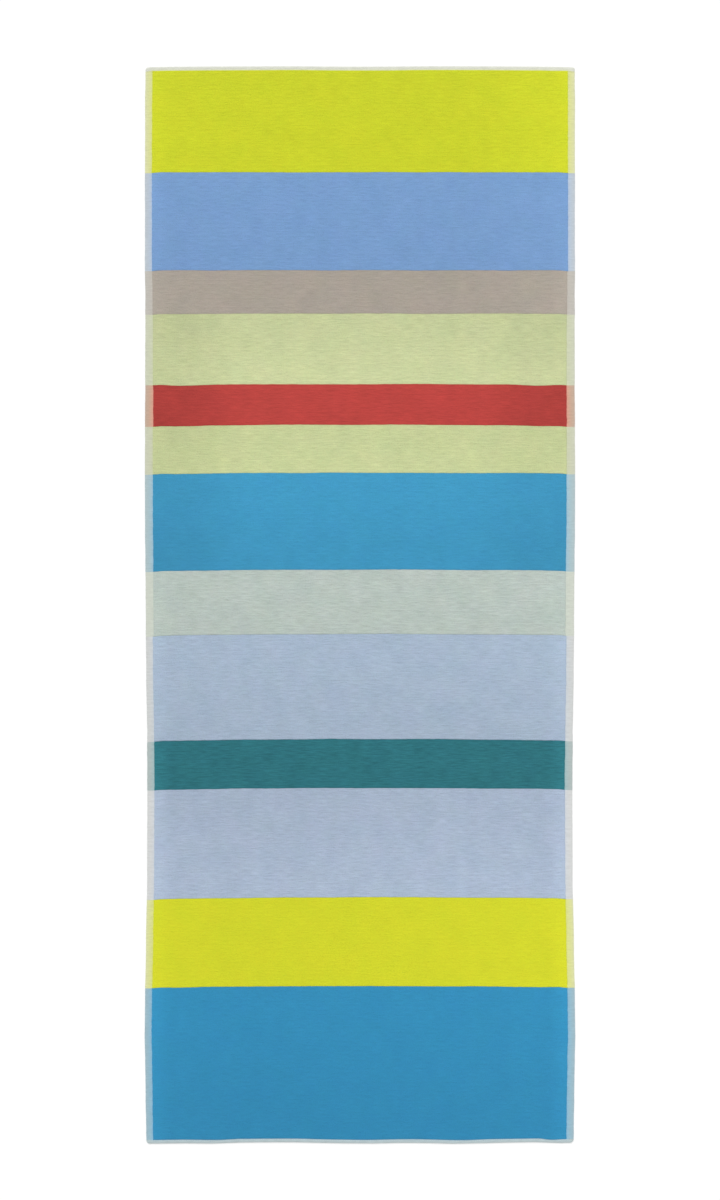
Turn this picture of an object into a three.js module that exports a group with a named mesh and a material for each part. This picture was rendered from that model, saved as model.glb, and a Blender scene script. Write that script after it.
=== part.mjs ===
// Bath towel lying flat, face up. One woven cotton cloth: a field of pile in thirteen colour
// stripes, a flat woven selvedge down each long side and a turned hem across each end.
// Millimetres. +X runs across the cloth, +Y towards the end that starts with a lime stripe and
// +Z up from the surface it lies on. The origin is the middle of the underside.

import * as THREE from "three";

// Driving dimensions

const WIDTH = 800; // side to side, at the widest place
const TOP_HEM = 7.5; // depth of the hem above the first stripe
const BOTTOM_HEM = 7; // depth of the hem below the last stripe

const SELVEDGE_THICKNESS = 1.3; // flat weave without pile
const HEM_THICKNESS = 2.2; // the same weave, turned under and sewn
const FOLD_ROUND = 1.2; // rounding of the outer edge of hem and selvedge
const EDGE_THICKNESS_SHARE = 0.6; // how thick the outermost edge is, against the weave beside it
const PILE_ROUND = 3; // how far in from its edge the pile has its full height
const PILE_SHOULDER = 0.75; // how far in it has risen most of the way
const GROOVE_DEPTH = 0.7; // the parting between two stripes of pile
const GROOVE_HALF_WIDTH = 2.2;
const GROOVE_FLOOR = 0.6; // half the width of its floor
const SWELL = 0.25; // how much the pile's height wanders, up and down
const SWELL_ACROSS = 620; // length of its waves across the cloth
const SWELL_DOWN = 900; // and down it
const TOP_EDGE_BOW = 1.6; // how far the top edge draws down towards its corners

// The stripes in the order they are woven, from the top. length runs down the cloth, pile is
// the height of its loops above the underside, selvedge is the width of the woven edge beside
// it, and sag is how far its lower end drops towards the left and the right side.
const STRIPES = [
  { colour: "#cdd52c", edge: "#dddfa2", length: 190.0, pile: 3.3, selvedge: 12.4, sag: [0.3, 0.3] },
  { colour: "#7a9fce", edge: "#bec9d4", length: 181.5, pile: 3.3, selvedge: 12.4, sag: [0.4, 0.0] },
  { colour: "#aaa196", edge: "#c3bfb7", length: 80.5, pile: 2.9, selvedge: 13.4, sag: [0.9, 0.4] },
  { colour: "#cbd3a0", edge: "#ced2b8", length: 131.0, pile: 2.9, selvedge: 13.6, sag: [2.6, 2.4] },
  { colour: "#be4641", edge: "#caac96", length: 75.0, pile: 3.4, selvedge: 15.0, sag: [3.2, 2.8] },
  { colour: "#cad39c", edge: "#cdd0b7", length: 89.5, pile: 2.9, selvedge: 13.8, sag: [2.6, 1.2] },
  { colour: "#419ac4", edge: "#adc4ca", length: 179.5, pile: 3.4, selvedge: 15.0, sag: [3.6, 2.1] },
  { colour: "#b9c5be", edge: "#ced4c8", length: 119.5, pile: 2.9, selvedge: 14.6, sag: [4.1, 2.4] },
  { colour: "#a6b7cb", edge: "#cfd2d2", length: 195.0, pile: 2.9, selvedge: 13.2, sag: [4.8, 3.4] },
  { colour: "#2e727c", edge: "#b0bebd", length: 90.5, pile: 3.4, selvedge: 14.3, sag: [4.3, 2.6] },
  { colour: "#a9b8cd", edge: "#d4d6d6", length: 203.0, pile: 2.9, selvedge: 13.3, sag: [3.9, 2.4] },
  { colour: "#d3d72b", edge: "#dcdf9a", length: 165.0, pile: 3.3, selvedge: 13.4, sag: [3.3, 2.0] },
  { colour: "#338cb8", edge: "#9abccb", length: 285.5, pile: 3.4, selvedge: 13.4, sag: [0.0, 0.0] },
];
const TOP_HEM_COLOUR = "#dddfd2";
const BOTTOM_HEM_COLOUR = "#b6c6c9";

// How far both long sides draw in from the full width, down the cloth.
const SIDES = [
  { down: 0, drawnIn: 1.6 },
  { down: 290, drawnIn: 0.6 },
  { down: 500, drawnIn: 1.4 },
  { down: 840, drawnIn: 0.7 },
  { down: 1000, drawnIn: 1.8 },
  { down: 1150, drawnIn: 3.4 },
  { down: 1340, drawnIn: 5.2 },
  { down: 1540, drawnIn: 4.2 },
  { down: 1700, drawnIn: 1.4 },
  { down: 1781, drawnIn: 0 },
  { down: 1900, drawnIn: 2.0 },
  { down: 2000, drawnIn: 3.5 },
];

// How far the bottom edge is drawn up, across the cloth.
const BOTTOM_EDGE = [
  { across: -360, up: 0 },
  { across: -250, up: 0.9 },
  { across: -175, up: 3.3 },
  { across: -63, up: 1.9 },
  { across: 11, up: 0.5 },
  { across: 85, up: 2.0 },
  { across: 197, up: 0 },
  { across: 308, up: 3.3 },
  { across: 383, up: 2.1 },
];

// Spacing of the points over the plain pile, across and down.
const COLUMN_SPACING = 70;
const ROW_SPACING = 80;

// Worked out from the driving dimensions

const stripes = [];
for (const row of STRIPES) {
  const start = stripes.length ? stripes.at(-1).end : TOP_HEM;
  stripes.push({ ...row, start, end: start + row.length });
}
const partings = stripes.slice(0, -1); // the stripes that have another below them
const pileEnd = stripes.at(-1).end;
const LENGTH = pileEnd + BOTTOM_HEM;

// A column of a table at a place along it, eased from each row to the next.
function eased(table, along, column, place) {
  const next = table.findIndex((row) => row[along] >= place);
  if (next === 0) return table[0][column];
  if (next < 0) return table.at(-1)[column];
  const [low, high] = [table[next - 1], table[next]];
  const share = THREE.MathUtils.smoothstep(place, low[along], high[along]);
  return THREE.MathUtils.lerp(low[column], high[column], share);
}

// A quarter round: 0 at the edge, 1 from `reach` inwards.
function rounded(fromEdge, reach) {
  const left = 1 - THREE.MathUtils.clamp(fromEdge / reach, 0, 1);
  return Math.sqrt(1 - left * left);
}

function stripeAt(down) {
  return stripes.find((stripe) => down <= stripe.end) ?? stripes.at(-1);
}

function halfWidth(down) {
  return WIDTH / 2 - eased(SIDES, "down", "drawnIn", down);
}

function pileHalfWidth(down) {
  return halfWidth(down) - stripeAt(down).selvedge;
}

// How far a point sits from its plain place down the cloth, towards the bottom end. Stripes'
// ends bow, the top edge draws down at its corners and the bottom edge is slightly scalloped.
function sag(across, down) {
  const toSide = across / (WIDTH / 2);
  const side = across < 0 ? 0 : 1;
  const ends = [
    { down: 0, sag: TOP_EDGE_BOW * toSide ** 6 },
    ...partings.map((stripe) => ({ down: stripe.end, sag: stripe.sag[side] * toSide ** 2 })),
    { down: pileEnd, sag: -eased(BOTTOM_EDGE, "across", "up", across) },
  ];
  return eased(ends, "down", "sag", down);
}

function swell(across, down) {
  const turnsAcross = (2 * Math.PI * across) / SWELL_ACROSS;
  const turnsDown = (2 * Math.PI * down) / SWELL_DOWN;
  return SWELL * Math.sin(turnsAcross + turnsDown / 2) * Math.cos(turnsDown - turnsAcross / 2);
}

// Height of the cloth's face above the surface it lies on.
function faceHeight(across, down) {
  const fromSide = halfWidth(down) - Math.abs(across);
  const fromEnd = Math.min(down, LENGTH - down);
  const fromPileSide = pileHalfWidth(down) - Math.abs(across);
  const fromPileEnd = Math.min(down - TOP_HEM, pileEnd - down);
  const weave = fromPileEnd < 0 ? HEM_THICKNESS : SELVEDGE_THICKNESS;
  const fold = rounded(Math.min(fromSide, fromEnd), FOLD_ROUND);
  const woven = weave * THREE.MathUtils.lerp(EDGE_THICKNESS_SHARE, 1, fold);

  const fromParting = Math.min(...partings.map((stripe) => Math.abs(down - stripe.end))) - GROOVE_FLOOR;
  const groove = GROOVE_DEPTH * (1 - rounded(fromParting, GROOVE_HALF_WIDTH - GROOVE_FLOOR));
  const pile = stripeAt(down).pile + swell(across, down) - groove;
  const risen = rounded(Math.min(fromPileSide, fromPileEnd), PILE_ROUND);
  return THREE.MathUtils.lerp(woven, pile, risen);
}

function colourAt(across, down) {
  if (down < TOP_HEM) return TOP_HEM_COLOUR;
  if (down > pileEnd) return BOTTOM_HEM_COLOUR;
  const stripe = stripeAt(down);
  return Math.abs(across) < pileHalfWidth(down) - PILE_SHOULDER / 2 ? stripe.colour : stripe.edge;
}

// Even steps from one place to another, no longer than `spacing`, without the first.
function stepsTo(from, to, spacing) {
  const count = Math.ceil((to - from) / spacing);
  return Array.from({ length: count }, (_, i) => from + ((to - from) * (i + 1)) / count);
}

// Places of the rows down the cloth: close together over each hem and each parting, where the
// face steps, and even over the stripes.
function rowPlaces() {
  const places = [0, FOLD_ROUND, TOP_HEM, TOP_HEM + PILE_SHOULDER];
  let from = TOP_HEM + PILE_ROUND;
  places.push(from);
  for (const stripe of partings) {
    places.push(...stepsTo(from, stripe.end - GROOVE_HALF_WIDTH, ROW_SPACING));
    places.push(stripe.end - GROOVE_FLOOR, stripe.end + GROOVE_FLOOR);
    from = stripe.end + GROOVE_HALF_WIDTH;
    places.push(from);
  }
  places.push(...stepsTo(from, pileEnd - PILE_ROUND, ROW_SPACING));
  places.push(pileEnd - PILE_SHOULDER, pileEnd, LENGTH - FOLD_ROUND, LENGTH);
  return places;
}

// Places of the columns across one row, from the left side to the right.
function columnPlaces(down) {
  const half = halfWidth(down);
  const pile = pileHalfWidth(down);
  const right = [pile - PILE_ROUND, pile - PILE_SHOULDER, pile, half - FOLD_ROUND, half];
  const left = right.map((place) => -place).reverse();
  const spans = Math.ceil(WIDTH / COLUMN_SPACING);
  const inner = pile - PILE_ROUND;
  const middle = Array.from({ length: spans - 1 }, (_, i) => (2 * (i + 1) / spans - 1) * inner);
  return [...left, ...middle, ...right];
}

// The cloth is a box of one layer of cells, a cell for each step between rows and columns,
// with its points moved to the cloth's places: the upper ones to its face, the lower ones to
// the flat underside.
function makeTowel() {
  const rows = rowPlaces();
  const columns = rows.map(columnPlaces);
  const across = columns[0].length - 1;
  const down = rows.length - 1;
  const geometry = new THREE.BoxGeometry(across, down, 1, across, down, 1);
  const point = geometry.getAttribute("position");
  const colours = new THREE.Float32BufferAttribute(new Float32Array(point.count * 3), 3);

  for (let i = 0; i < point.count; i++) {
    const row = Math.round(down / 2 - point.getY(i));
    const column = Math.round(point.getX(i) + across / 2);
    const isFace = point.getZ(i) > 0;
    const x = columns[row][column];
    const fromTop = rows[row];
    const y = LENGTH / 2 - fromTop - sag(x, fromTop);
    point.setXYZ(i, x, y, isFace ? faceHeight(x, fromTop) : 0);
    colours.setXYZ(i, ...new THREE.Color(colourAt(x, fromTop)).toArray());
  }

  geometry.setAttribute("color", colours);
  geometry.computeVertexNormals();
  const cotton = new THREE.MeshStandardMaterial({ vertexColors: true, roughness: 0.95, metalness: 0 });
  const towel = new THREE.Mesh(geometry, cotton);
  towel.name = "towel";
  return towel;
}

const part = new THREE.Group();
part.add(makeTowel());

export default part;
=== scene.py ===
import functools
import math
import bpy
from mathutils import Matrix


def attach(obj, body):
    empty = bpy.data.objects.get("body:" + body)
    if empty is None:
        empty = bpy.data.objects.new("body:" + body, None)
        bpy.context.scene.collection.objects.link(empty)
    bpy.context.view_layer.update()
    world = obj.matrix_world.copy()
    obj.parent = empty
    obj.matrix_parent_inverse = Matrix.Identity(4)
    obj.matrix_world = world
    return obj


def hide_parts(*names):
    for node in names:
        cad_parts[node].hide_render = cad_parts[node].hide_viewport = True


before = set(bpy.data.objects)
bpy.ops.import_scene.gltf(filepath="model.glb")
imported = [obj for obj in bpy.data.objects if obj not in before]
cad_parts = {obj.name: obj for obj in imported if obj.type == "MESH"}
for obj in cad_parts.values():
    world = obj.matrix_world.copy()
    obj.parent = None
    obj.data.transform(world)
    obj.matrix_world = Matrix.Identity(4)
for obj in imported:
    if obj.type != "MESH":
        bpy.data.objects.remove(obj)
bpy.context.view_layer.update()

# A striped cotton bath towel lying flat and open, face up. It is one woven cloth: a ground
# weave, bare along both long sides as selvedges and turned under at both ends as hems, with
# thirteen stripes of pile standing on it. A place on the cloth is `across`, from its middle
# line to the right, and `down`, from its top end, as it lay on the loom before it bowed.
# Lengths are millimetres, and MM turns them to metres where a mesh or a material is made.

from types import SimpleNamespace

import bpy
import numpy as np

MM = 0.001


def table(text):
    """Rows of a table with its column names on the first line."""
    names, *rows = [line.split() for line in text.strip().splitlines()]
    words = {"name", "colour", "weave"}
    read = [[v if n in words else float(v) for n, v in zip(names, row)] for row in rows]
    return [SimpleNamespace(**dict(zip(names, row))) for row in read]


# Sizes of the cloth

WIDTH = 800
TOP_HEM = 7.5
BOTTOM_HEM = 7

# The stripes in the order they are woven, from the top. pile is the height of its loops above
# the underside, and bare_left and bare_right the width of bare weave on either side of it.
STRIPES = table("""
    name          colour   weave    length  pile  bare_left  bare_right
    lime          #cdd52c  #dddfa2  190.0   3.3   12.8       12.8
    sky           #7a9fce  #bec9d4  181.5   3.3   12.9       12.7
    taupe         #aaa196  #c3bfb7   80.5   2.9   13.4       13.9
    pale_green    #cbd3a0  #ced2b8  131.0   2.9   14.1       15.0
    red           #be4641  #caac96   75.0   3.4   15.0       14.9
    pale_green_2  #cad39c  #cdd0b7   89.5   2.9   14.2       15.3
    cerulean      #419ac4  #adc4ca  179.5   3.4   14.6       15.7
    grey_green    #b9c5be  #ced4c8  119.5   2.9   14.4       15.8
    lavender      #a6b7cb  #cfd2d2  195.0   2.9   12.7       13.7
    teal          #2e727c  #b0bebd   90.5   3.4   13.0       13.8
    lavender_2    #a9b8cd  #d4d6d6  203.0   2.9   13.0       13.4
    lime_2        #d3d72b  #dcdf9a  165.0   3.3   12.9       13.5
    cerulean_2    #338cb8  #9abccb  285.5   3.4   12.5       13.4
""")
TOP_HEM_WEAVE = "#dddfd2"
BOTTOM_HEM_WEAVE = "#b6c6c9"
UNDYED = "#e6e6e0"  # cotton of the warp and of the sewing thread

# How each stripe lies, and the light and shade painted on it. left and right are how far its lower end
# drops towards each side, dip how far it drops again a little inside the sides, and grain how
# strongly its rows show. The rest is the light and shade painted on its pile, where 1 is its own
# colour:
# side some way in from both sides, rim along the sides themselves, fade how much lighter its top
# and how much darker its bottom is painted, and lean the same for the right and left of its middle.
LIE = table("""
    name          left  right  dip  grain  side   rim    fade    lean
    lime          0.3   0.3    0.0  0.85   1.035  1.085   0.000  0.000
    sky           0.4   0.0    0.0  0.97   1.010  1.065   0.015  0.000
    taupe         0.9   0.4    0.0  0.98   1.030  1.105   0.000  0.000
    pale_green    1.2   1.0    2.2  1.18   0.935  0.950  -0.040  0.000
    red           2.6   2.6    0.8  1.40   0.855  0.835   0.015  0.000
    pale_green_2  2.6   1.2    0.0  1.13   0.945  0.960  -0.015  0.000
    cerulean      3.6   2.1    0.0  0.90   0.920  0.925   0.045  0.000
    grey_green    4.1   2.4    0.0  1.40   1.005  1.050   0.015  0.010
    lavender      4.8   3.4    0.0  1.18   1.005  1.085   0.030  0.005
    teal          4.3   2.6    0.0  2.25   0.990  1.160   0.005  0.015
    lavender_2    3.9   2.4    0.0  1.24   1.000  1.100  -0.035  0.035
    lime_2        3.3   2.0    0.0  0.50   1.015  1.075   0.000  0.025
    cerulean_2    0.0   0.0    0.0  0.65   1.020  1.125   0.040  0.025
""")
RIM_AT = 0  # from the pile's sides, where its painted light and shade are as rim says
SIDE_FROM, SIDE_TO = 42, 54  # and where its painted light and shade are as side says
PLAIN_FROM = 186  # and where the painted light and shade of the sides end in its own colour
RIGHT_PAINTED_LIGHTER = 0.023  # painted light: how much lighter the right side is painted, and how much darker the left

# How far the long sides draw in from the full width, down the cloth.
SIDES = table("""
    down  left  right
    0     2.0   1.6
    80    1.3   1.2
    200   0.9   1.2
    360   0.9   1.2
    440   1.7   1.6
    560   1.5   1.7
    640   1.2   1.4
    820   1.0   1.0
    960   2.0   2.2
    1120  3.3   3.6
    1240  5.2   5.4
    1340  5.5   6.2
    1500  4.9   5.5
    1620  3.1   3.4
    1720  1.3   1.5
    1800  0.7   0.8
    1840  1.5   1.6
    1920  2.5   2.8
    2000  3.5   3.5
""")

# How far the top edge drops below the cloth's highest point, and how far the bottom edge is
# drawn up from its lowest, across the cloth.
TOP_EDGE = table("""
    across  drop
    -400    3.2
    -386    1.7
    -350    1.0
    -250    0.5
    -120    0.0
    -40     0.7
    40      0.8
    120     0.0
    190     0.0
    335     0.7
    360     1.5
    384     1.5
    398     2.6
""")
BOTTOM_EDGE = table("""
    across  up
    -380    0.4
    -325    1.0
    -265    0.4
    -215    2.6
    -130    3.0
    -37     1.1
    5       0.5
    95      1.9
    190     0.0
    255     2.2
    330     3.1
    355     0.6
    385     1.9
""")

# The profile of a pile's edge against bare weave, and against the next stripe's pile: how far
# in each point lies, and how much of the pile's height it has.
OPEN_EDGE = table("""
    inset  risen
    0.00   0.00
    0.15   0.45
    0.50   0.76
    1.20   0.93
    2.60   1.00
""")
CLOSED_EDGE = table("""
    inset  risen
    0.00   0.00
    0.03   0.84
    0.50   0.92
    1.20   0.97
    2.60   1.00
""")

SELVEDGE_THICKNESS = 1.2
GROUND_THICKNESS = 1.7  # at the pile's edge
HEM_THICKNESS = 2.2
PILE_FOOT = 1.0  # where the pile's walls end, inside the ground weave
SIDE_DROP = 1.2  # how much the stripes' ends drop in their last stretch before the selvedges
SIDE_DROP_FROM, SIDE_DROP_TO = 366, 388  # that stretch, from the cloth's middle line
DIP_AT = 330  # where the dips are lowest, from the middle line
DIP_REACH = 38
CORNER_ROUND = {"left": (4, 6), "right": (3, 7)}  # of the top corner and of the bottom corner

# How uneven each thing is: the size of its lumps and how far apart they come, across the cloth
# or along the edge, and down the cloth. All sizes are millimetres, but rows is a share of the
# rows' own height. seed is the first of the random patterns that it takes.
UNEVEN = {row.name: row for row in table("""
    name             seed  size  apart  down
    parting          0     0.45  55     1
    parting_tufts    30    0.2   8      1
    left_pile        50    0.3   7      1
    left_tufts       51    0.2   2.5    1
    right_pile       70    0.3   7      1
    right_tufts      71    0.2   2.5    1
    rows             110   0.6   14     9
    pile_lumps       130   0.15  4.5    4
    selvedge         160   0.3   30     1
    selvedge_thread  161   0.15  4      1
""")}

stripe_start = TOP_HEM
for stripe in STRIPES:
    stripe.start = stripe_start
    stripe.end = stripe_start + stripe.length
    stripe_start = stripe.end
PILE_END = STRIPES[-1].end
LENGTH = PILE_END + BOTTOM_HEM


def smooth(share):
    share = np.clip(share, 0, 1)
    return share * share * (3 - 2 * share)


def column(rows, name):
    return np.array([getattr(row, name) for row in rows])


def eased(places, values, at):
    """The values of a table at any place, eased from each row to the next."""
    at = np.clip(at, places[0], places[-1])
    after = np.clip(np.searchsorted(places, at, side="right"), 1, len(places) - 1)
    share = smooth((at - places[after - 1]) / (places[after] - places[after - 1]))
    return values[after - 1] * (1 - share) + values[after] * share


LATTICE = 256  # random heights each way, before they repeat


@functools.cache
def random_lattice(seed):
    return np.random.default_rng(seed).uniform(-1, 1, (LATTICE, LATTICE))


def lumps(seed, u, v):
    """Smooth random heights from -1 to 1, about one lump for each step of u and of v."""
    lattice = random_lattice(seed)
    u, v = np.broadcast_arrays(np.asarray(u, float), np.asarray(v, float))
    i, j = np.floor(u).astype(int), np.floor(v).astype(int)
    s, t = smooth(u - i), smooth(v - j)
    corner = [[lattice[(i + a) % LATTICE, (j + b) % LATTICE] for b in (0, 1)] for a in (0, 1)]
    upper = corner[0][0] * (1 - t) + corner[0][1] * t
    lower = corner[1][0] * (1 - t) + corner[1][1] * t
    return upper * (1 - s) + lower * s


def uneven(name, k, along, down=0.0):
    """How far something is from even at a place, with a random pattern of its own for each k."""
    row = UNEVEN[name]
    return row.size * lumps(int(row.seed) + k, along / row.apart, down / row.down)


def rounded(from_edge, reach):
    """A quarter round: 0 on an edge and 1 from its reach inward."""
    short_of_it = 1 - np.clip(from_edge / reach, 0, 1)
    return np.sqrt(1 - short_of_it * short_of_it)


def side_reach(side, down):
    """Distance from the cloth's middle line to its left or right side."""
    drawn_in = eased(column(SIDES, "down"), column(SIDES, side), down)
    top, bottom = CORNER_ROUND[side]
    cut = top * (1 - rounded(down, top)) + bottom * (1 - rounded(LENGTH - down, bottom))
    return WIDTH / 2 - drawn_in - cut


def parting_drop(k, across):
    """How far the cloth sits below its plain place along the end of stripe k, or the top edge."""
    if k == 0:
        return eased(column(TOP_EDGE, "across"), column(TOP_EDGE, "drop"), across)
    if k == len(STRIPES):
        return -eased(column(BOTTOM_EDGE, "across"), column(BOTTOM_EDGE, "up"), across)
    lie = LIE[k - 1]
    toward = across / (WIDTH / 2)
    bow = np.where(across < 0, lie.left, lie.right) * toward ** 2
    from_middle = np.abs(across)
    dip = lie.dip * np.exp(-(((from_middle - DIP_AT) / DIP_REACH) ** 2))
    at_side = SIDE_DROP * smooth((from_middle - SIDE_DROP_FROM) / (SIDE_DROP_TO - SIDE_DROP_FROM))
    return bow + dip + at_side + uneven("parting", k, across) + uneven("parting_tufts", k, across)


def place_on_floor(across, down):
    """Where a point of the cloth lies, in x and y."""
    ends = [0.0] + [stripe.end for stripe in STRIPES]
    drop = parting_drop(0, across)
    for k in range(1, len(ends)):
        share = smooth((down - ends[k - 1]) / (ends[k] - ends[k - 1]))
        drop = drop + (parting_drop(k, across) - parting_drop(k - 1, across)) * share
    return across, LENGTH / 2 - down - drop


def grid_faces(rows, columns, first=0):
    """Four-sided faces of a grid of points whose rows run down and columns to the right."""
    at = first + np.arange(rows * columns).reshape(rows, columns)
    corners = [at[:-1, :-1], at[1:, :-1], at[1:, 1:], at[:-1, 1:]]
    return np.stack(corners, axis=-1).reshape(-1, 4).tolist()


def rim_loop(rows, columns, first=0):
    """The outline of such a grid, counter-clockwise from above."""
    at = first + np.arange(rows * columns).reshape(rows, columns)
    return [*at[:-1, 0], *at[-1, :-1], *at[:0:-1, -1], *at[0, :0:-1]]


def add_piece(name, points, faces, materials, which=None, facts=None):
    """A mesh in metres from points in millimetres, riding on the towel's one body.

    which gives each face's material, and facts hold a number or a colour for each point.
    """
    mesh = bpy.data.meshes.new(name)
    mesh.from_pydata((points.reshape(-1, 3) * MM).tolist(), [], faces)
    for material in materials:
        mesh.materials.append(material)
    if which is not None:
        mesh.polygons.foreach_set("material_index", which)
    for fact, values in (facts or {}).items():
        is_colour = values.ndim == points.ndim
        if is_colour:
            values = np.insert(values, 3, 1, axis=-1)  # opaque
        kind, field = ("FLOAT_COLOR", "color") if is_colour else ("FLOAT", "value")
        attribute = mesh.attributes.new(fact, kind, "POINT")
        attribute.data.foreach_set(field, values.astype(np.float32).ravel())
    mesh.shade_smooth()
    piece = bpy.data.objects.new(name, mesh)
    bpy.context.scene.collection.objects.link(piece)
    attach(piece, "root")
    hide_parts("towel")
    return piece


# Materials, with the width across the cloth and the height down it of each pattern's step

ROW_STREAK = (20, 2.4)
DYE_PATCH = (45, 45)
CUT_LOOP = (1.3, 2.0)
WHOLE_LOOP = (1.8, 2.1)  # a little further apart than cut ones
FIBRE = (0.5, 0.5)
WEAVE_RIB = (14, 3)
THREAD = (1.2, 1.2)
WAVE_TO_A_STEP = math.pi / 10  # scale at which Blender's wave texture repeats once in a step


def linear(colour):
    """An sRGB hex colour as linear red, green and blue."""
    channels = [int(colour[i:i + 2], 16) / 255 for i in (1, 3, 5)]
    return [c / 12.92 if c <= 0.04045 else ((c + 0.055) / 1.055) ** 2.4 for c in channels]


def linear_colours(colours):
    return np.array([linear(colour) for colour in colours])


def add_node(material, kind, inputs=None, **settings):
    """A shader node with its settings, and its inputs by name or number as values or links."""
    node = material.node_tree.nodes.new("ShaderNode" + kind)
    for name, value in settings.items():
        setattr(node, name, value)
    in_use = [socket for socket in node.inputs if socket.enabled]
    for key, value in (inputs or {}).items():
        socket = in_use[key] if isinstance(key, int) else next(s for s in in_use if s.name == key)
        if isinstance(value, bpy.types.NodeSocket):
            material.node_tree.links.new(value, socket)
        else:
            socket.default_value = value
    return {socket.name: socket for socket in node.outputs if socket.enabled}


def pattern(material, kind, step, inputs=None, **settings):
    """A texture laid on the cloth, with steps of a width across it and a height down it."""
    wide, high = step
    place = add_node(material, "TexCoord")["Object"]
    scale = (1 / (wide * MM), 1 / (high * MM), 1 / (wide * MM))
    steps = add_node(material, "Mapping", {"Vector": place, "Scale": scale})["Vector"]
    return add_node(material, kind, {"Vector": steps, "Scale": 1.0, **(inputs or {})}, **settings)


def shaded(material, colour, heights, spread, low=0.25, high=0.75):
    """A colour that goes from darker to lighter by the spread as a pattern goes from low to high."""
    lightness = add_node(material, "MapRange", {
        "Vector": heights, "From Min": [low] * 3, "From Max": [high] * 3,
        "To Min": [1 - spread] * 3, "To Max": [1 + spread] * 3,
    }, data_type="FLOAT_VECTOR")["Vector"]
    return add_node(material, "VectorMath", {0: colour, 1: lightness}, operation="MULTIPLY")["Vector"]


def lit(material, colour):
    """A colour with the light and shade painted on the mesh at each place."""
    light = add_node(material, "Attribute", attribute_name="light")["Fac"]
    return add_node(material, "VectorMath", {0: colour, "Scale": light}, operation="SCALE")["Vector"]


def cotton(name):
    """Matt cotton: no metal, a weak broad shine, and a faint bloom from loose fibre ends."""
    material = bpy.data.materials.new(name)
    material.use_nodes = True
    shader = material.node_tree.nodes["Principled BSDF"]
    shader.inputs["Roughness"].default_value = 0.95
    shader.inputs["Specular IOR Level"].default_value = 0.1
    shader.inputs["Sheen Weight"].default_value = 0.06
    shader.inputs["Sheen Roughness"].default_value = 0.6
    return material


def finish_cotton(material, colour, height, strength, depth):
    """Join a cotton's colour and its relief, so many millimetres deep, to its shader."""
    shader = material.node_tree.nodes["Principled BSDF"]
    relief = {"Height": height, "Strength": strength, "Distance": depth * MM}
    material.node_tree.links.new(colour, shader.inputs["Base Color"])
    material.node_tree.links.new(add_node(material, "Bump", relief)["Normal"], shader.inputs["Normal"])
    return material


def sheared_terry(stripe, lie):
    """Cotton terry with its loops sheared: soft, dense and matt, in faint rows across."""
    material = cotton("sheared_cotton_terry_" + stripe.name)
    # Rows of cut loops, which show from a step away as long streaks.
    streaks = pattern(material, "TexNoise", ROW_STREAK, {"Detail": 1.5}, noise_dimensions="2D")["Fac"]
    # The dye has taken a little unevenly, more in shade than in hue.
    dye = pattern(material, "TexNoise", DYE_PATCH, {"Detail": 1.0}, noise_dimensions="2D")
    # The loops stand in rows, each one a soft tuft of cut fibres.
    soft = {"Smoothness": 0.5, "Randomness": 0.8}
    loops = pattern(
        material, "TexVoronoi", CUT_LOOP, soft, voronoi_dimensions="2D", feature="SMOOTH_F1"
    )
    # Fibre ends are far too fine to show, and are drawn half a millimetre apart.
    fibres = pattern(material, "TexNoise", FIBRE, noise_dimensions="2D")["Fac"]
    colour = lit(material, linear(stripe.colour))
    # Painted light and shade of the rows, along the streaks that also raise their relief.
    colour = shaded(material, colour, streaks, spread=0.06 * lie.grain)
    colour = shaded(material, colour, dye["Fac"], spread=0.02 * lie.grain)
    colour = shaded(material, colour, dye["Color"], spread=0.012)
    colour = shaded(material, colour, loops["Color"], spread=0.02, low=0, high=1)
    # Painted shade in the gaps between the loops, and painted light on their tops.
    colour = shaded(material, colour, loops["Distance"], spread=-0.1, low=0.1, high=0.8)
    colour = shaded(material, colour, fibres, spread=0.05)
    tops = add_node(material, "Math", {0: streaks, 1: loops["Distance"]}, operation="SUBTRACT")["Value"]
    fibre_share = 0.4
    relief = add_node(
        material, "Math", {0: fibres, 1: fibre_share, 2: tops}, operation="MULTIPLY_ADD"
    )["Value"]
    return finish_cotton(material, colour, relief, strength=0.8, depth=0.6)


def plain_weave():
    """Cream warp and each stripe's own weft, flat and close: paler than the pile, in fine ribs."""
    material = cotton("cotton_plain_weave")
    woven = add_node(material, "Attribute", attribute_name="weave")["Color"]
    # Some threads are thicker than others, which shows from a step away as ribs.
    ribs = pattern(material, "TexNoise", WEAVE_RIB, noise_dimensions="2D")["Fac"]
    # The threads are about 0.6 mm apart, and are drawn twice that so that they show.
    wave = {"Scale": WAVE_TO_A_STEP}
    warp = pattern(material, "TexWave", THREAD, wave, bands_direction="X")["Fac"]
    weft = pattern(material, "TexWave", THREAD, wave, bands_direction="Y")["Fac"]
    crossings = add_node(material, "Math", {0: warp, 1: weft}, operation="MULTIPLY")["Value"]
    colour = shaded(material, lit(material, woven), ribs, spread=0.06)
    # Painted shade in the gaps between the threads, and painted light on their tops.
    colour = shaded(material, colour, crossings, spread=0.06, low=0, high=0.5)
    relief = add_node(material, "Math", {0: ribs, 1: crossings}, operation="ADD")["Value"]
    return finish_cotton(material, colour, relief, strength=0.5, depth=0.4)


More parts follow.
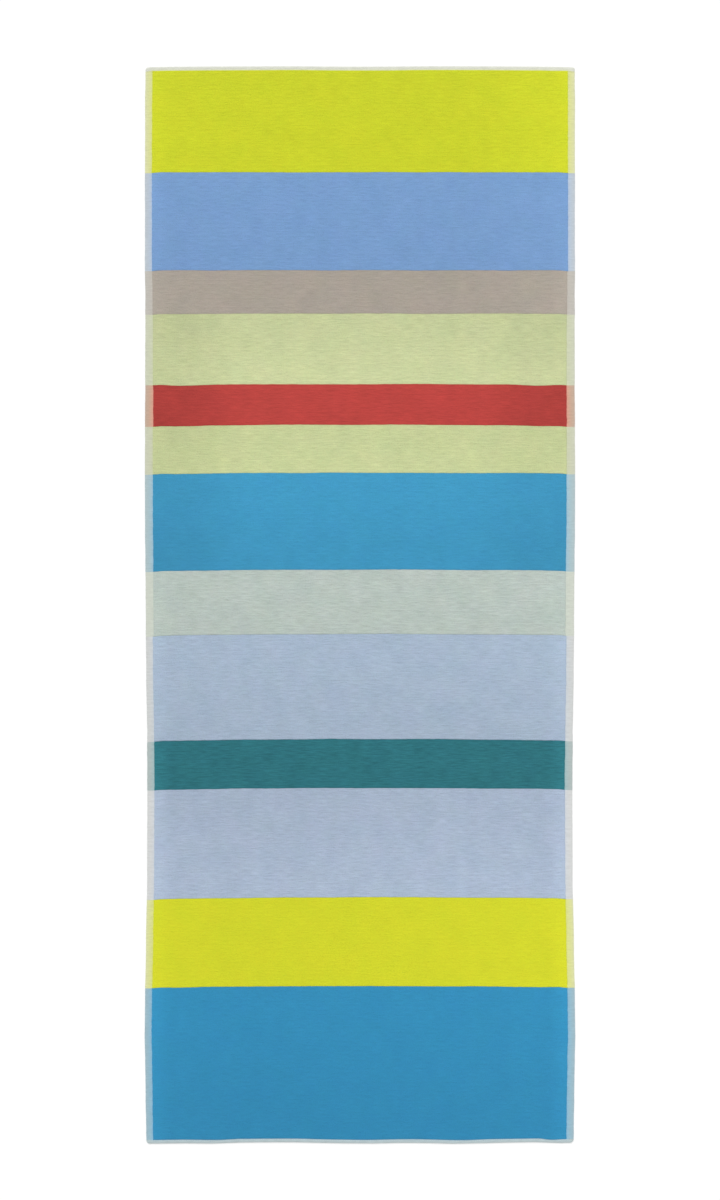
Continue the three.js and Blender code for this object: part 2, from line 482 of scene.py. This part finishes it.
def looped_terry():
    """The reverse: the same yarns left as uncut loops, a coarser grain than the sheared face."""
    material = cotton("looped_cotton_terry")
    pile = add_node(material, "Attribute", attribute_name="pile")["Color"]
    # Whole loops have deeper gaps between them than cut ones.
    loops = pattern(material, "TexVoronoi", WHOLE_LOOP, {"Randomness": 0.8}, voronoi_dimensions="2D")
    colour = shaded(material, pile, loops["Color"], spread=0.03, low=0, high=1)
    # Painted shade in the deeper gaps between the loops, and painted light on their tops.
    colour = shaded(material, colour, loops["Distance"], spread=-0.15, low=0.15, high=0.75)
    relief = add_node(material, "Math", {0: 1.0, 1: loops["Distance"]}, operation="SUBTRACT")["Value"]
    return finish_cotton(material, colour, relief, strength=0.8, depth=0.7)


def sewing_thread():
    """Spun cotton thread, a little smoother than the weave that it lies on."""
    material = cotton("cotton_sewing_thread")
    shader = material.node_tree.nodes["Principled BSDF"]
    shader.inputs["Base Color"].default_value = linear(UNDYED) + [1]
    shader.inputs["Roughness"].default_value = 0.7
    return material


# The pile

ROW_STEP = 2.1  # between rows of points down a stripe, two to a row of loops
COLUMN_STEP = 2.6
RIB_HEIGHT = 0.15  # half of how far a row of loops stands above the gap beside it
PAIR_SHARE = 0.7  # of that, by which every other row of loops stands higher or lower
SWELL = 0.25  # how much the pile's height wanders, up and down
SWELL_ACROSS = 620  # length of its waves across the cloth
SWELL_DOWN = 900  # and down it


def swell(across, down):
    turns_across = 2 * math.pi * across / SWELL_ACROSS
    turns_down = 2 * math.pi * down / SWELL_DOWN
    return SWELL * np.sin(turns_across + turns_down / 2) * np.cos(turns_down - turns_across / 2)


def edge_to_edge(near, far, length, step):
    """Places along a length and how far each has risen: a near edge, even steps, a far edge."""
    count = max(2, round((length - near[-1].inset - far[-1].inset) / step))
    middle = np.linspace(near[-1].inset, length - far[-1].inset, count + 1)
    places = [column(near, "inset")[:-1], middle, length - column(far, "inset")[-2::-1]]
    risen = [column(near, "risen")[:-1], np.ones(count + 1), column(far, "risen")[-2::-1]]
    return np.concatenate(places), np.concatenate(risen)


def lightness(lie, across, from_side, share_down):
    """The light and shade painted on a stripe's pile at a place on it, where 1 is its own colour."""
    places = np.array([RIM_AT, SIDE_FROM, SIDE_TO, PLAIN_FROM])
    even = eased(places, np.array([lie.rim, lie.side, lie.side, 1]), from_side)
    lean = eased(places, np.array([RIGHT_PAINTED_LIGHTER] * 3 + [lie.lean]), from_side)
    leaning = even + lean * (2 * smooth(across / WIDTH + 0.5) - 1)
    return leaning * (1 + lie.fade * np.cos(math.pi * share_down))


def leaning_out(side, k, down):
    """How far a stripe's pile leans out over the bare weave of a side, tuft by tuft."""
    return uneven(side + "_pile", k, down) + uneven(side + "_tufts", k, down)


def add_stripe(stripe, lie):
    """One stripe of pile: a low slab with rounded edges and faint rows, standing in the ground."""
    k = STRIPES.index(stripe)
    top_edge = OPEN_EDGE if k == 0 else CLOSED_EDGE
    bottom_edge = OPEN_EDGE if k == len(STRIPES) - 1 else CLOSED_EDGE
    down, risen_down = edge_to_edge(top_edge, bottom_edge, stripe.length, ROW_STEP)
    down = (down + stripe.start)[:, None]
    left = stripe.bare_left - side_reach("left", down) - leaning_out("left", k, down)
    right = side_reach("right", down) - stripe.bare_right + leaning_out("right", k, down)
    width = np.mean(right - left)
    share, risen_across = edge_to_edge(OPEN_EDGE, OPEN_EDGE, width, COLUMN_STEP)
    across = left + (right - left) * share / width

    down = np.broadcast_to(down, across.shape)
    row = (down - stripe.start) / ROW_STEP
    ribs = np.cos(math.pi * row) + PAIR_SHARE * np.cos(math.pi * row / 2)
    ribs = RIB_HEIGHT * math.sqrt(lie.grain) * ribs * (1 + uneven("rows", k, across, down))
    height = stripe.pile + swell(across, down) + ribs + uneven("pile_lumps", k, across, down)
    risen = np.minimum(risen_down[:, None], risen_across[None, :])
    height = PILE_FOOT + (height - PILE_FOOT) * risen
    x, y = place_on_floor(across, down)
    points = np.stack([x, y, height], axis=-1)
    faces = grid_faces(*x.shape) + [rim_loop(*x.shape)[::-1]]
    from_side = np.minimum(share, width - share)
    # Painted light and shade: lighter or darker at the stripe's sides, top and bottom, and right and
    # left.
    facts = {"light": lightness(lie, across, from_side, (down - stripe.start) / stripe.length)}
    return add_piece("pile_" + stripe.name, points, faces, [sheared_terry(stripe, lie)], facts=facts)


# The ground weave

GROUND_ROW_STEP = 2.5
GROUND_COLUMN_STEP = 55
RIM_COLUMNS = [0, 0.3, 1.1]  # of points, in from each side
BARE_COLUMNS = [0.3, 0.55, 0.8, 1.0]  # as shares of the bare weave's width
UNDER_PILE = 3  # from the pile's edge in to the next column
HEM_ROWS = [0, 0.3, 1.1, 2.4, 3.8, 4.6, 5.2, 5.8, 6.6]  # of points, from each end
HEM_STEP = 1.2  # length of the slope from the hem down to the single cloth
HEM_STEP_END = 7.9  # from each end
PARTING_GAP = 0.4  # from the rows on either side of a parting to the parting itself
FOLD_ROUND = 1.1  # rounding of the outer edges
EDGE_HEIGHT = 0.45  # of the outermost points of the upper face
UNDER_EDGE_HEIGHT = 0.27  # and of the underside
UNDER_LIFT = 0.3  # how high the bare selvedges lie off the floor
LIFT_SHARE = 0.2  # of the bare weave's width, in which it comes down to the floor at the pile
LIFT_REACH = 2  # and the length in which it comes down at the hems
STITCH_LINE = 5.2  # from each end of the cloth
STITCH_DIP = 0.4
STITCH_DIP_REACH = 0.6
OUTER_GREYER = 0.25  # how far the outermost threads are turned towards undyed cotton
INNER_RICHER = 0.18  # how far they are turned towards the pile's colour where the pile begins
EYE = np.array([0.2126, 0.7152, 0.0722])  # what red, green and blue each add to lightness
WEAVE_LIGHT = 1.035  # painted light that makes up for the painted shade between the threads


def ground_rows():
    """The ground's rows down the cloth, with the stripe beside each one and its weave's colour."""
    top, bottom = STRIPES[0], STRIPES[-1]
    rows = [(row, top, TOP_HEM_WEAVE) for row in HEM_ROWS]
    for stripe in STRIPES:
        start, end = stripe.start + PARTING_GAP, stripe.end - PARTING_GAP
        for row in np.linspace(start, end, round(stripe.length / GROUND_ROW_STEP)):
            rows.append((row, stripe, stripe.weave))
    rows += [(LENGTH - row, bottom, BOTTOM_HEM_WEAVE) for row in HEM_ROWS[::-1]]
    down, beside, weave = zip(*rows)
    return np.array(down)[:, None], beside, linear_colours(weave)


def turned(colour, hue, share):
    """A colour turned by a share towards another's hue, and as light as before."""
    as_light = hue * (colour @ EYE / (hue @ EYE))[..., None]
    return colour * (1 - share) + as_light * share


def bare_weave(weave, pile, inward):
    """The bare weave's colour: greyer at the outermost threads, richer where the pile begins."""
    outer = OUTER_GREYER * np.clip(1 - 2 * inward, 0, 1)[..., None]
    inner = INNER_RICHER * np.clip(2 * inward - 1, 0, 1)[..., None]
    greyer = turned(weave[:, None], linear_colours([UNDYED])[0], outer)
    return turned(greyer, pile[:, None], inner)


def ground_height(from_side, from_end, inward):
    """Height of the bare weave's upper face: thin at the sides, thick and stitched at the hems."""
    selvedge = SELVEDGE_THICKNESS + (GROUND_THICKNESS - SELVEDGE_THICKNESS) * smooth(inward)
    in_hem = smooth((HEM_STEP_END - from_end) / HEM_STEP)
    stitched = STITCH_DIP * np.exp(-(((from_end - STITCH_LINE) / STITCH_DIP_REACH) ** 2))
    height = selvedge + (HEM_THICKNESS - selvedge) * in_hem - stitched
    fold = rounded(np.minimum(from_side, from_end), FOLD_ROUND)
    return EDGE_HEIGHT + (height - EDGE_HEIGHT) * fold


def side_insets(bare):
    """How far in the ground's outer columns lie: on the rim, on the bare weave, under the pile."""
    rim = np.broadcast_to(RIM_COLUMNS, (len(bare), len(RIM_COLUMNS)))
    return np.concatenate([rim, bare * BARE_COLUMNS, bare + UNDER_PILE], axis=1)


def add_ground():
    """The whole cloth without its pile: both selvedges, both hems and the reverse."""
    down, beside, weave = ground_rows()
    pile = linear_colours([stripe.colour for stripe in beside])
    bare_left, bare_right = [column(beside, name)[:, None] for name in ("bare_left", "bare_right")]
    inset_left, inset_right = side_insets(bare_left), side_insets(bare_right)
    side_columns = inset_left.shape[1]
    edge_wander = uneven("selvedge", 0, down) + uneven("selvedge_thread", 0, down)
    left = side_reach("left", down) + edge_wander
    right = side_reach("right", down) + edge_wander
    inner = np.linspace(0, 1, round(WIDTH / GROUND_COLUMN_STEP) + 1)[1:-1]
    start, end = inset_left[:, -1:] - left, right - inset_right[:, -1:]
    between = start + (end - start) * inner
    across = np.concatenate([inset_left - left, between, right - inset_right[:, ::-1]], axis=1)

    rows, columns = across.shape
    down = np.broadcast_to(down, across.shape)
    middle = np.full((rows, len(inner)), WIDTH / 2)
    from_side = np.concatenate([inset_left, middle, inset_right[:, ::-1]], axis=1)
    from_end = np.minimum(down, LENGTH - down)
    bare = np.where(across < 0, bare_left, bare_right)
    inward = np.minimum(np.clip(from_side / bare, 0, 1), np.clip(from_end / TOP_HEM, 0, 1))
    x, y = place_on_floor(across, down)
    upper = np.stack([x, y, ground_height(from_side, from_end, inward)], axis=-1)
    lift = smooth((1 - from_side / bare) / LIFT_SHARE) * smooth((from_end - TOP_HEM) / LIFT_REACH)
    lower = np.stack([x, y, UNDER_LIFT * lift], axis=-1)
    rim = rim_loop(rows, columns)
    lower.reshape(-1, 3)[rim, 2] = UNDER_EDGE_HEIGHT

    walls = [[a, a + rows * columns, b + rows * columns, b] for a, b in zip(rim, rim[1:] + rim[:1])]
    under = [face[::-1] for face in grid_faces(rows, columns, first=rows * columns)]
    is_terry = np.zeros((rows - 1, columns - 1), int)
    is_terry[len(HEM_ROWS):-len(HEM_ROWS), side_columns - 2:1 - side_columns] = 1
    faces = grid_faces(rows, columns) + walls + under
    which = np.concatenate([np.zeros(len(faces) - len(under), int), is_terry.ravel()])
    facts = {
        "weave": np.stack([bare_weave(weave, pile, inward)] * 2),
        "pile": np.stack([np.repeat(pile[:, None], columns, axis=1)] * 2),
        # Painted light: lighter towards the right side and darker towards the left.
        "light": np.stack([WEAVE_LIGHT + RIGHT_PAINTED_LIGHTER * across / (WIDTH / 2)] * 2),
    }
    materials = [plain_weave(), looped_terry()]
    return add_piece("ground_weave", np.stack([upper, lower]), faces, materials, which, facts)


# The hems' stitches

STITCH_STEP = 3.2
STITCH_LENGTH = 2.5
STITCH_RADIUS = 0.32
STITCHES_IN = 9  # how far in from each side a row of them starts
STITCH_RINGS = table("""
    along  rise  thick
    -0.5   -0.3  0.3
    -0.3   0.05  0.9
    0.3    0.05  0.9
    0.5    -0.3  0.3
""")
STITCH_SIDES = 5


def add_stitches(name, from_top):
    """One straight row of stitches through a hem, each a short bead that dips at both its ends."""
    reach = WIDTH / 2 - STITCHES_IN
    centres = np.linspace(-reach, reach, round(2 * reach / STITCH_STEP) + 1)
    x, y = place_on_floor(centres, np.full_like(centres, from_top))
    turn = np.arange(STITCH_SIDES) * 2 * math.pi / STITCH_SIDES
    along, rise, thick = [column(STITCH_RINGS, part)[:, None] for part in ("along", "rise", "thick")]
    bead = np.broadcast_arrays(
        along * STITCH_LENGTH,
        STITCH_RADIUS * thick * np.cos(turn),
        HEM_THICKNESS - STITCH_DIP + rise + STITCH_RADIUS * thick * np.sin(turn),
    )
    bead = np.stack(bead, axis=-1).reshape(-1, 3)
    points = bead + np.stack([x, y, np.zeros_like(x)], axis=-1)[:, None]
    rings = len(STITCH_RINGS)
    around = np.arange(rings * STITCH_SIDES).reshape(rings, STITCH_SIDES)
    after = np.roll(around, -1, axis=1)
    sides = np.stack([around[:-1], after[:-1], after[1:], around[1:]], axis=-1).reshape(-1, 4)
    shape = [*sides.tolist(), around[0, ::-1].tolist(), around[-1].tolist()]
    firsts = range(0, len(x) * len(bead), len(bead))
    faces = [[first + corner for corner in face] for first in firsts for face in shape]
    return add_piece(name, points, faces, [sewing_thread()])


ground = add_ground()
on_the_ground = [add_stripe(stripe, lie) for stripe, lie in zip(STRIPES, LIE)]
on_the_ground.append(add_stitches("stitches_top", STITCH_LINE))
on_the_ground.append(add_stitches("stitches_bottom", LENGTH - STITCH_LINE))

# Floor, light and camera

FRAME_HEIGHT = 2.2267  # metres of floor from the top of the picture to its bottom
FRAME_ABOVE_CENTRE = 0.0092  # how far the picture's middle lies above the cloth's
FRAME_LEVEL = 0.002  # height off the floor at which the frame has that size
LENS = 100
SENSOR = 36
FLOOR_REACH = 60  # metres each way, so that it fills the low views too
FLOOR_CORNERS = [(-1, -1), (1, -1), (1, 1), (-1, 1)]
FLOOR_LEVEL = -0.0002  # just clear of the underside
FLOOR_WHITE = "#f9f9f9"
FLOOR_GLOW = 0.08  # keeps the cloth's shadow on it faint
LIGHT_WHITE = "#ffffff"
ROOM_LIGHT = 0.81
LAMP_LIGHT = 0.98
LAMP_TILT, LAMP_TURN = -50, 12  # degrees, away from shining straight down
LAMP_SPREAD = 25  # degrees, for soft shadows


def add_floor():
    """A plain floor, white enough that only the cloth's own shadow shows on it."""
    mesh = bpy.data.meshes.new("floor")
    corners = [(x * FLOOR_REACH, y * FLOOR_REACH, FLOOR_LEVEL) for x, y in FLOOR_CORNERS]
    mesh.from_pydata(corners, [], [(0, 1, 2, 3)])
    material = bpy.data.materials.new("white_studio_floor")
    material.use_nodes = True
    shader = material.node_tree.nodes["Principled BSDF"]
    shader.inputs["Base Color"].default_value = linear(FLOOR_WHITE) + [1]
    shader.inputs["Emission Color"].default_value = linear(LIGHT_WHITE) + [1]
    shader.inputs["Emission Strength"].default_value = FLOOR_GLOW
    shader.inputs["Roughness"].default_value = 0.9
    shader.inputs["Specular IOR Level"].default_value = 0.0
    mesh.materials.append(material)
    floor = bpy.data.objects.new("floor", mesh)
    bpy.context.scene.collection.objects.link(floor)


def add_light():
    """White light from all round, and a soft lamp from beyond the top end to bring out the rows."""
    scene = bpy.context.scene
    scene.view_settings.view_transform = "Standard"
    world = bpy.data.worlds.new("studio")
    world.use_nodes = True
    background = world.node_tree.nodes["Background"]
    background.inputs["Color"].default_value = linear(LIGHT_WHITE) + [1]
    background.inputs["Strength"].default_value = ROOM_LIGHT
    scene.world = world
    lamp = bpy.data.lights.new("soft_lamp", "SUN")
    lamp.energy = LAMP_LIGHT
    lamp.angle = math.radians(LAMP_SPREAD)
    holder = bpy.data.objects.new("soft_lamp", lamp)
    holder.rotation_euler = (math.radians(LAMP_TILT), 0, math.radians(LAMP_TURN))
    scene.collection.objects.link(holder)


def add_camera():
    """A long lens straight above the cloth, looking down on it with its top end up."""
    camera = bpy.data.cameras.new("camera")
    camera.lens = LENS
    camera.sensor_width = SENSOR
    holder = bpy.data.objects.new("camera", camera)
    holder.location = (0, FRAME_ABOVE_CENTRE, FRAME_LEVEL + FRAME_HEIGHT * LENS / SENSOR)
    bpy.context.scene.collection.objects.link(holder)
    bpy.context.scene.camera = holder


add_floor()
add_light()
add_camera()
